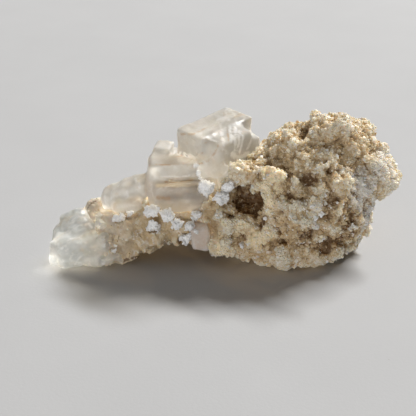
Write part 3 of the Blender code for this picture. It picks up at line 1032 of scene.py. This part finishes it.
def clear_material(name, tint):
    """Clear to milky salt with growth lines, that lets lamps through to what lies behind it."""
    milk, absorb, density, cloud_size, depth, through = CLEAR_SALTS[name]
    material, tree, shader, output, where = start_material(name)
    sockets = {"Vector": where, "Cloud Size": cloud_size}
    surface = put(tree, "ShaderNodeGroup", sockets, node_tree=crystal_finish())
    streak = remap(noise(where, 1.4 * MM, 4.0), 0.3, 0.6, 0.35, 1.0)
    white = times(value_of(tree, "white_line"), streak)
    brown = times(value_of(tree, "brown_line"), streak)
    rough = remap(surface["Cloud"], 0.0, 1.0, 0.30, 0.38)
    worn = remap(value_of(tree, "worn"), 0.0, 0.5, 0.0, 0.4)
    height = total(surface["Height"], (white, 0.8))
    sockets = {
        "Base Color": clear_colour(surface, tint, white, brown),
        "Roughness": total(rough, (surface["Etch"], 0.2), worn),
        "Normal": bumped(height, 0.6 * MM, 0.35),
        "Transmission Weight": 1.0 - milk,
        "IOR": SALT_IOR,
        "Specular IOR Level": 0.3,
        **scatter_light(1.0, (1.0, 0.95, 0.88), depth),
    }
    wire(shader, sockets)
    let_lamps_through(tree, shader, output, through)
    sockets = {"Color": as_colour(absorb), "Density": density}
    wire(output, {"Volume": add(tree, "ShaderNodeVolumeAbsorption", sockets)})
    return material


def chalk_material(settings):
    """Chalky white crumbs, painted faint grey and cream in their dips as painted shade."""
    material, tree, shader, _, where = start_material("chalky salt")
    grain = grain_masks(where, 0.45 * MM)
    # Low relief paints the dips greyer: painted shade.
    tone_and_shade = total(value_of(tree, "relief"), (grain["Tone"], 0.4))
    stops = [(0.15, (0.80, 0.78, 0.73)), (0.4, (0.92, 0.915, 0.90)), (0.8, settings.chalk)]
    sockets = {
        "Base Color": ramp(tone_and_shade, stops),
        "Roughness": remap(grain["Tone"], 0.3, 0.7, 0.8, 0.5),
        "Normal": bumped(grain["Height"], 0.2 * MM, 0.3),
        **scatter_light(0.85, (1.0, 0.97, 0.93), 1.6 * MM),
    }
    wire(shader, sockets)
    return material


def floor_material(settings):
    """A pale matt sheet with a faint tooth and a few dust specks."""
    material, tree, shader, _, where = start_material("pale floor")
    cloud = remap(noise(where, 45.0 * MM, 4.0), 0.3, 0.7)
    tooth = noise(where, 1.1 * MM)
    specks = cells(where, 16.0 * MM)
    dot = remap(specks["Distance"], 0.028, 0.018)
    dot = times(dot, remap(first_of(specks["Color"]), 0.86, 0.9))
    base = Vector(settings.floor)
    colour = blend_colours(cloud, base * 0.985, base * 1.01)
    sockets = {
        "Base Color": blend_colours(times(dot, 0.5), colour, (0.32, 0.30, 0.28)),
        "Roughness": remap(tooth, 0.3, 0.7, 0.8, 0.95),
        "Normal": bumped(tooth, 0.2 * MM, 0.25),
        "Specular IOR Level": 0.2,
    }
    wire(shader, sockets)
    return material


# ---- pieces


class HALITE_OT_crust(bpy.types.Operator):
    """Grow the granular crust of the lump and the arm"""

    bl_idname = "halite.crust"
    bl_label = "Granular Crust"

    def execute(self, context):
        settings = context.scene.halite_crust
        crust = copy_of_node("granular_matrix", "granular_crust")
        voxel_remesh(crust, settings.voxel)
        mark_touch(crust)
        for name, places in (("shaded_pit", SHADED_PITS), ("cream", CREAMS), ("fill", FILLS), ("frost", FROSTS)):
            mark_places(crust, name, places)
        mark_lines(crust, "foot_shade", FOOT_SHADE_LINES)
        mark_lines(crust, "pale_line", PALE_LINES)
        mark_along(crust, "calm", -9.0, 1.0)
        mark_along(crust, "thin", -41.0, -28.0)
        shape_by_nodes(crust, grown_relief(), values_of(settings, *RELIEF_INPUTS[1:]))
        finish_piece(crust, granular_material(settings), "granular_salt", "granular_matrix")
        return {"FINISHED"}


class HALITE_OT_grains(bpy.types.Operator):
    """Scatter small cubes of salt over the crust, and fine needles where it is frosted"""

    bl_idname = "halite.grains"
    bl_label = "Grains and Needles"

    def execute(self, context):
        settings = context.scene.halite_grains
        crust = bpy.data.objects["granular_crust"]
        calm, frost = value_array(crust, "calm"), value_array(crust, "frost")
        small, density = settings.smallest, settings.density
        values = values_of(settings, "Density", "Smallest", "Largest", "Seed")
        values.update({"Length": 1.0, "Tilt": 0.7})
        material = grain_material(context.scene.halite_crust, "sugar grains", 0.38)
        scatter(crust, "sugar_grains", 1.0 - 0.85 * calm, values, material)
        values.update({"Density": density * 1.2, "Largest": small * 2.2, "Seed": settings.seed + 2})
        scatter(crust, "fine_grains", 1.0 - 0.9 * calm, values, material)
        values = {
            "Density": density * 1.2,
            "Smallest": small * 0.3,
            "Largest": small * 0.6,
            "Length": 9.0,
            "Tilt": 1.5,
            "Seed": settings.seed + 1,
        }
        frost = np.maximum(frost * 1.6, value_array(crust, "pale_line") * 2.0)
        wanted = np.clip(frost, 0.0, 1.2) + 0.4 * (1.0 - calm)
        material = grain_material(context.scene.halite_crust, "frost needles", 0.75)
        scatter(crust, "frost_needles", wanted, values, material)
        return {"FINISHED"}


def scatter(crust, name, wanted, values, material):
    """Makes a piece of small grains on the crust, thickest where they are wanted."""
    piece = copy_of_mesh(crust, name)
    keep_values(piece, "wanted", wanted)
    shape_by_nodes(piece, scattered_cubes(), values)
    finish_piece(piece, material, "granular_salt", flat=True)


class HALITE_OT_cubes(bpy.types.Operator):
    """Cut the clear stepped cubes"""

    bl_idname = "halite.cubes"
    bl_label = "Clear Cubes"

    def execute(self, context):
        settings = context.scene.halite_crystals
        cubes = copy_of_node("cube_cluster", "clear_cubes")
        for recess in CUBE_RECESSES:
            cut_recess(cubes, *recess)
        voxel_remesh(cubes, settings.voxel)
        shape_by_nodes(cubes, stepped_faces(), {"Size": 3.6 * MM, "Step": 0.34 * MM})
        round_off(cubes, 120, (-20.0, -25.0), 0.13, WORN)
        # Marks where the cubes' colour is darkened as painted shade.
        mark_places(cubes, "shade_patch", SHADED_PLACES)
        mark_growth(cubes)
        material = clear_material("clear salt", settings.cube_tint)
        finish_piece(cubes, material, "clear_salt", "cube_cluster")
        return {"FINISHED"}


class HALITE_OT_end_crystals(bpy.types.Operator):
    """Shape the rounded end crystal and the small pink one"""

    bl_idname = "halite.end_crystals"
    bl_label = "End Crystals"

    def execute(self, context):
        settings = context.scene.halite_crystals
        end = copy_of_node("end_crystal", "clear_end")
        add_blocks(end, END_BITS)
        voxel_remesh(end, settings.voxel)
        round_off(end, 20, EVERYWHERE, 1.0)
        shape_by_nodes(end, soft_facets(), {"Size": 4.2 * MM, "Depth": 0.9 * MM})
        round_off(end, 3, EVERYWHERE, 1.0)
        mark_growth(end)
        material = clear_material("end salt", settings.end_tint)
        finish_piece(end, material, "end_salt", "end_crystal")
        low = copy_of_node("lower_crystal", "pink_crystal")
        voxel_remesh(low, settings.voxel)
        round_off(low, 10, EVERYWHERE, 1.0)
        material = clear_material("pink salt", settings.pink_tint)
        finish_piece(low, material, "pink_salt", "lower_crystal")
        return {"FINISHED"}


def cut_recess(piece, start, end, near, far, top, foot):
    """Cuts a shallow flat recess in the main cube, in millimetres in its own axes."""
    deselect_all()
    bpy.ops.mesh.primitive_cube_add(size=1.0)
    cutter = bpy.context.active_object
    middle = Vector((start + end, -near - far, -top - foot)) * 0.5 * MM
    turn = CUBE_TURN.to_matrix()
    size = Matrix.Diagonal((end - start, far - near, foot - top, 1000.0)) * MM
    place = Matrix.Translation(CUBE_CORNER + turn @ middle)
    cutter.data.transform(place @ turn.to_4x4() @ size)
    made = piece.modifiers.new("Recess", "BOOLEAN")
    made.operation = "DIFFERENCE"
    made.solver = "EXACT"
    made.object = cutter
    apply_modifiers(piece)
    bpy.data.objects.remove(cutter)


def add_blocks(piece, blocks):
    """Joins small turned blocks to a piece, each a place and a size in mm."""
    for index, (*place, size) in enumerate(blocks):
        deselect_all()
        turn = (index * 0.7, index * 1.1, index * 1.9)
        bpy.ops.mesh.primitive_cube_add(size=size * MM, rotation=turn)
        block = bpy.context.active_object
        bpy.ops.object.transform_apply(location=False, rotation=True, scale=False)
        block.data.transform(Matrix.Translation(Vector(place) * MM))
        join_all([block], piece)


def round_off(piece, rounds, span, most, worn=()):
    """Blurs the shape to soften its edges, beyond the span along X and in worn places."""
    mark_places(piece, "worn", worn)
    share = np.maximum(share_along(piece, *span) * most, value_array(piece, "worn"))
    keep_values(piece, "softness", np.maximum(share, 1.0 / rounds))
    shape_by_nodes(piece, rounding(), {"Rounds": rounds})


def mark_growth(piece):
    """Keeps the white growth lines and the brown stains of clear salt."""
    mark_lines(piece, "white_line", WHITE_LINES)
    mark_lines(piece, "brown_line", BROWN_LINES)


class HALITE_OT_crumbs(bpy.types.Operator):
    """Break the chalky white crumbs"""

    bl_idname = "halite.crumbs"
    bl_label = "White Crumbs"

    def execute(self, context):
        settings = context.scene.halite_crumbs
        material = chalk_material(settings)
        for index, node in enumerate(CRUMBS):
            crumb = copy_of_node(node, node.replace("salt", "chalk"))
            break_up(crumb, settings, index)
            finish_piece(crumb, material, "white_salt", node)
        bits = chalk_bits()
        break_up(bits, settings, len(CRUMBS))
        finish_piece(bits, material, "white_salt")
        return {"FINISHED"}


def chalk_bits():
    """Small chalky bits that lie about the crumbs, joined as one piece."""
    deselect_all()
    balls = []
    for *place, size in BITS:
        bpy.ops.mesh.primitive_ico_sphere_add(subdivisions=2, radius=size * 0.8 * MM)
        balls.append(bpy.context.active_object)
        balls[-1].data.transform(Matrix.Translation(Vector(place) * MM))
    bits = balls[-1]
    join_all(balls, bits)
    bits.name = bits.data.name = "chalk_bits"
    return bits


def break_up(crumb, settings, seed):
    """Breaks a crumb into a ragged cluster of chalky flakes."""
    flake = settings.flake_size
    voxel_remesh(crumb, 0.3 * MM)
    values = {"Smallest": flake * 0.5, "Largest": flake * 2.0, "Seed": seed}
    shape_by_nodes(crumb, flaky_cluster(), values)
    voxel_remesh(crumb, settings.voxel)
    values = {
        "Clot Size": flake * 2.0,
        "Clot Depth": 0.1 * MM,
        "Grain Size": flake * 0.6,
        "Grain Depth": settings.flake_depth * 0.6,
    }
    shape_by_nodes(crumb, grown_relief(), values)


# ---- stage


def add_floor(settings):
    """A wide pale floor under the specimen."""
    deselect_all()
    bpy.ops.mesh.primitive_plane_add(size=FLOOR_SIDE, location=(0.0, 0.0, 0.0))
    floor = bpy.context.active_object
    floor.name = "floor"
    bpy.ops.object.mode_set(mode="EDIT")
    bpy.ops.mesh.subdivide(number_cuts=3)
    bpy.ops.object.mode_set(mode="OBJECT")
    floor.data.materials.append(floor_material(settings))
    deselect_all()


def add_lamp(name, place, size, power, colour):
    """A wide soft lamp that faces the specimen."""
    data = bpy.data.lights.new(name, "AREA")
    data.shape = "RECTANGLE"
    data.size, data.size_y = size
    data.energy = power
    data.color = colour
    lamp = new_object(name, data)
    lamp.location = place
    lamp.rotation_euler = (Vector(LAMP_AIM) - place).to_track_quat("-Z", "Y").to_euler()


def add_sky(settings):
    """Soft light that is strongest overhead and a little behind."""
    world = bpy.data.worlds.new("studio")
    world.use_nodes = True
    tree = world.node_tree
    way = put(tree, "ShaderNodeTexCoord")["Generated"]
    high = calc("MAXIMUM", vector_calc("DOT_PRODUCT", way, SKY_MIDDLE)[1], 0.0)
    glow = total((calc("POWER", high, 2.0), settings.sky), settings.fill)
    wire(tree.nodes["Background"], {"Color": (1.0, 1.0, 1.0, 1.0), "Strength": glow})
    bpy.context.scene.world = world


def add_camera(settings):
    """The camera, looking slightly down at the specimen's front."""
    data = bpy.data.cameras.new("camera")
    data.lens, data.sensor_width = LENS, SENSOR
    data.clip_start = 0.01
    camera = new_object("camera", data)
    tilt = settings.elevation
    back = Vector((0.0, -math.cos(tilt), math.sin(tilt)))
    camera.location = Vector(settings.aim) + back * settings.distance
    camera.rotation_euler = (math.pi / 2.0 - tilt, 0.0, 0.0)
    bpy.context.scene.camera = camera


class HALITE_OT_stage(bpy.types.Operator):
    """Set up the floor, lights and camera"""

    bl_idname = "halite.stage"
    bl_label = "Stage"

    def execute(self, context):
        settings = context.scene.halite_stage
        add_floor(settings)
        add_sky(settings)
        add_lamp("key", KEY_PLACE, KEY_SIZE, settings.key_power, KEY_COLOUR)
        add_lamp("front", FRONT_PLACE, FRONT_SIZE, settings.front_power, FRONT_COLOUR)
        context.scene.view_settings.view_transform = "Standard"
        add_camera(settings)
        return {"FINISHED"}


# ---- panel

STEPS = (
    HALITE_OT_stage,
    HALITE_OT_crust,
    HALITE_OT_grains,
    HALITE_OT_cubes,
    HALITE_OT_end_crystals,
    HALITE_OT_crumbs,
)
SETTINGS = {
    "halite_crust": HaliteCrustSettings,
    "halite_grains": HaliteGrainSettings,
    "halite_crystals": HaliteCrystalSettings,
    "halite_crumbs": HaliteCrumbSettings,
    "halite_stage": HaliteStageSettings,
}


class HALITE_PT_specimen(bpy.types.Panel):
    """Buttons for each group of pieces, with their settings"""

    bl_label = "Halite Specimen"
    bl_idname = "HALITE_PT_specimen"
    bl_space_type = "VIEW_3D"
    bl_region_type = "UI"
    bl_category = "Halite"

    def draw(self, context):
        for step in STEPS:
            self.layout.operator(step.bl_idname)
        for name in SETTINGS:
            box = self.layout.box()
            group = getattr(context.scene, name)
            for key in group.__annotations__:
                box.prop(group, key)


CLASSES = (*SETTINGS.values(), *STEPS, HALITE_PT_specimen)


def register():
    """Registers the classes and hangs the settings on the scene."""
    for item in CLASSES:
        bpy.utils.register_class(item)
    for name, group in SETTINGS.items():
        setattr(bpy.types.Scene, name, bpy.props.PointerProperty(type=group))


def unregister():
    """Takes the settings and classes away again."""
    for name in SETTINGS:
        delattr(bpy.types.Scene, name)
    for item in reversed(CLASSES):
        bpy.utils.unregister_class(item)


def write_sizes():
    """Brings the view layer up to date."""
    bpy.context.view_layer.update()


def main():
    """Makes every piece in order."""
    register()
    bpy.ops.halite.stage()
    bpy.ops.halite.crust()
    bpy.ops.halite.grains()
    bpy.ops.halite.cubes()
    bpy.ops.halite.end_crystals()
    bpy.ops.halite.crumbs()
    write_sizes()


if __name__ == "__main__":
    main()
